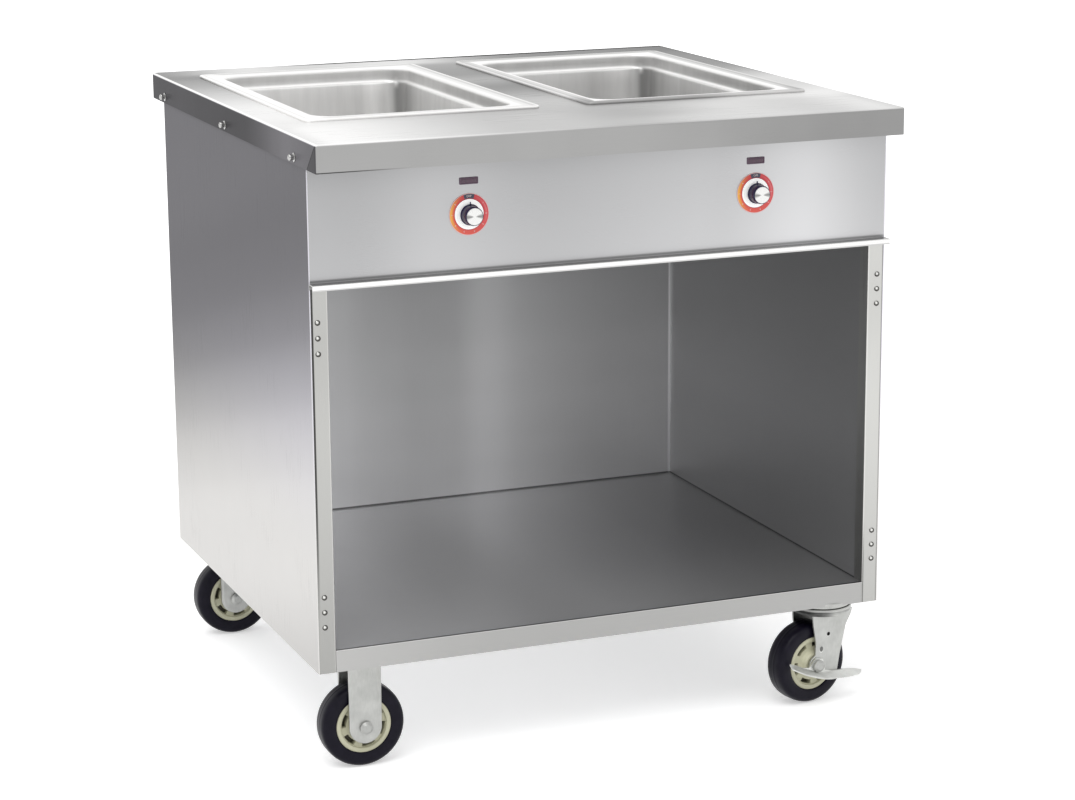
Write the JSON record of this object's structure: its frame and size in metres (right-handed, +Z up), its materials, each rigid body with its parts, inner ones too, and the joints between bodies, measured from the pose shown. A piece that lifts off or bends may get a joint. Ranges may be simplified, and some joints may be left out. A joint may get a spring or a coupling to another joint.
{
  "type": "hostess trolley",
  "caption": "Stainless steel hot-food serving trolley with heated wells, dial controls, an open storage bay and castors, the swivelling ones braked.",
  "frame": {"origin": "on the floor under the middle of the worktop", "axes": "+Z up, -Y out of the control panel and the open bay, +X to the right as seen by the person who stands in front of the dials"},
  "size_m": [0.908, 0.86, 0.918],
  "materials": {
    "deck_steel": "satin stainless sheet, fine brushing",
    "body_steel": "satin stainless sheet",
    "bay_steel": "satin stainless sheet",
    "well_steel": "drawn stainless, satin",
    "galvanised": "galvanised steel",
    "blanket": "glass-fibre blanket",
    "element": "oxidised heater sheath",
    "switch_case": "moulded switch housing",
    "dial": "printed enamel dial",
    "knob_black": "black moulded plastic",
    "knob_bright": "spun bright disc",
    "lamp": "dark red lens",
    "fastener": "bright steel",
    "gland_black": "moulded cable gland",
    "zinc": "bright zinc plate",
    "hub_cream": "cream moulded hub",
    "tyre_black": "glossy black tread"
  },
  "bodies": {
    "cabinet": {"back_panel": "body_steel", "bay_ceiling": "bay_steel", "bottom_shelf": "bay_steel", "castor_bolts": "fastener", "castor_channels": "galvanised", "control_panel": "body_steel", "dial_plate_left": "dial", "dial_plate_right": "dial", "front_ledge": "body_steel", "front_post_left": "body_steel", "front_post_right": "body_steel", "heating_element_left": "element", "heating_element_right": "element", "insulation_left": "blanket", "insulation_right": "blanket", "kingpins": "fastener", "liner_back": "bay_steel", "liner_left": "bay_steel", "liner_right": "bay_steel", "pilot_lamps": "lamp", "post_rivets": "fastener", "power_gland": "gland_black", "rear_posts": "galvanised", "rigid_axles": "fastener", "rigid_fork_front": "zinc", "rigid_fork_rear": "zinc", "side_panel_left": "body_steel", "side_panel_right": "body_steel", "side_pins": "fastener", "swivel_balls": "fastener", "swivel_plate_front": "zinc", "swivel_plate_rear": "zinc", "thermostat_left": "switch_case", "thermostat_right": "switch_case", "top_deck": "deck_steel", "well_jacket_left": "galvanised", "well_jacket_right": "galvanised", "well_left": "well_steel", "well_right": "well_steel"},
    "control_left": {"knob_left": "knob_black", "knob_cap_left": "knob_bright", "control_shaft_left": "fastener"},
    "control_right": {"knob_right": "knob_black", "knob_cap_right": "knob_bright", "control_shaft_right": "fastener"},
    "swivel_front": {"swivel_fork_front": "zinc", "swivel_axle_front": "fastener"},
    "pedal_front": {"brake_pedal_front": "zinc"},
    "wheel_front_left": {"hub_front_left": "hub_cream", "tyre_front_left": "tyre_black"},
    "wheel_front_right": {"hub_front_right": "hub_cream", "tyre_front_right": "tyre_black"},
    "swivel_rear": {"swivel_fork_rear": "zinc", "swivel_axle_rear": "fastener"},
    "pedal_rear": {"brake_pedal_rear": "zinc"},
    "wheel_rear_left": {"hub_rear_left": "hub_cream", "tyre_rear_left": "tyre_black"},
    "wheel_rear_right": {"hub_rear_right": "hub_cream", "tyre_rear_right": "tyre_black"}
  },
  "joints": [
    {"name": "knob_left_turn", "type": "hinge", "parent": "cabinet", "child": "control_left", "pos_m": [-0.209, -0.38, 0.796], "axis": [0, 1, 0], "range_deg": [0, 300]},
    {"name": "knob_right_turn", "type": "hinge", "parent": "cabinet", "child": "control_right", "pos_m": [0.231, -0.38, 0.796], "axis": [0, 1, 0], "range_deg": [0, 300]},
    {"name": "wheel_front_left_spin", "type": "hinge", "parent": "cabinet", "child": "wheel_front_left", "pos_m": [-0.37, -0.338, 0.0625], "axis": [0, 1, 0], "continuous": true},
    {"name": "swivel_front_turn", "type": "hinge", "parent": "cabinet", "child": "swivel_front", "pos_m": [0.37, -0.338, 0.15], "axis": [0, 0, 1], "continuous": true},
    {"name": "wheel_front_right_spin", "type": "hinge", "parent": "swivel_front", "child": "wheel_front_right", "pos_m": [0.34251, -0.34334, 0.0625], "axis": [-0.1908, 0.9816, 0], "continuous": true},
    {"name": "pedal_front_rock", "type": "hinge", "parent": "swivel_front", "child": "pedal_front", "pos_m": [0.34251, -0.34334, 0.0625], "axis": [-0.1908, 0.9816, 0], "range_deg": [-24, 0]},
    {"name": "wheel_rear_left_spin", "type": "hinge", "parent": "cabinet", "child": "wheel_rear_left", "pos_m": [-0.37, 0.328, 0.0625], "axis": [0, 1, 0], "continuous": true},
    {"name": "swivel_rear_turn", "type": "hinge", "parent": "cabinet", "child": "swivel_rear", "pos_m": [0.37, 0.328, 0.15], "axis": [0, 0, 1], "continuous": true},
    {"name": "wheel_rear_right_spin", "type": "hinge", "parent": "swivel_rear", "child": "wheel_rear_right", "pos_m": [0.34251, 0.32266, 0.0625], "axis": [-0.1908, 0.9816, 0], "continuous": true},
    {"name": "pedal_rear_rock", "type": "hinge", "parent": "swivel_rear", "child": "pedal_rear", "pos_m": [0.34251, 0.32266, 0.0625], "axis": [-0.1908, 0.9816, 0], "range_deg": [-24, 0]}
  ]
}
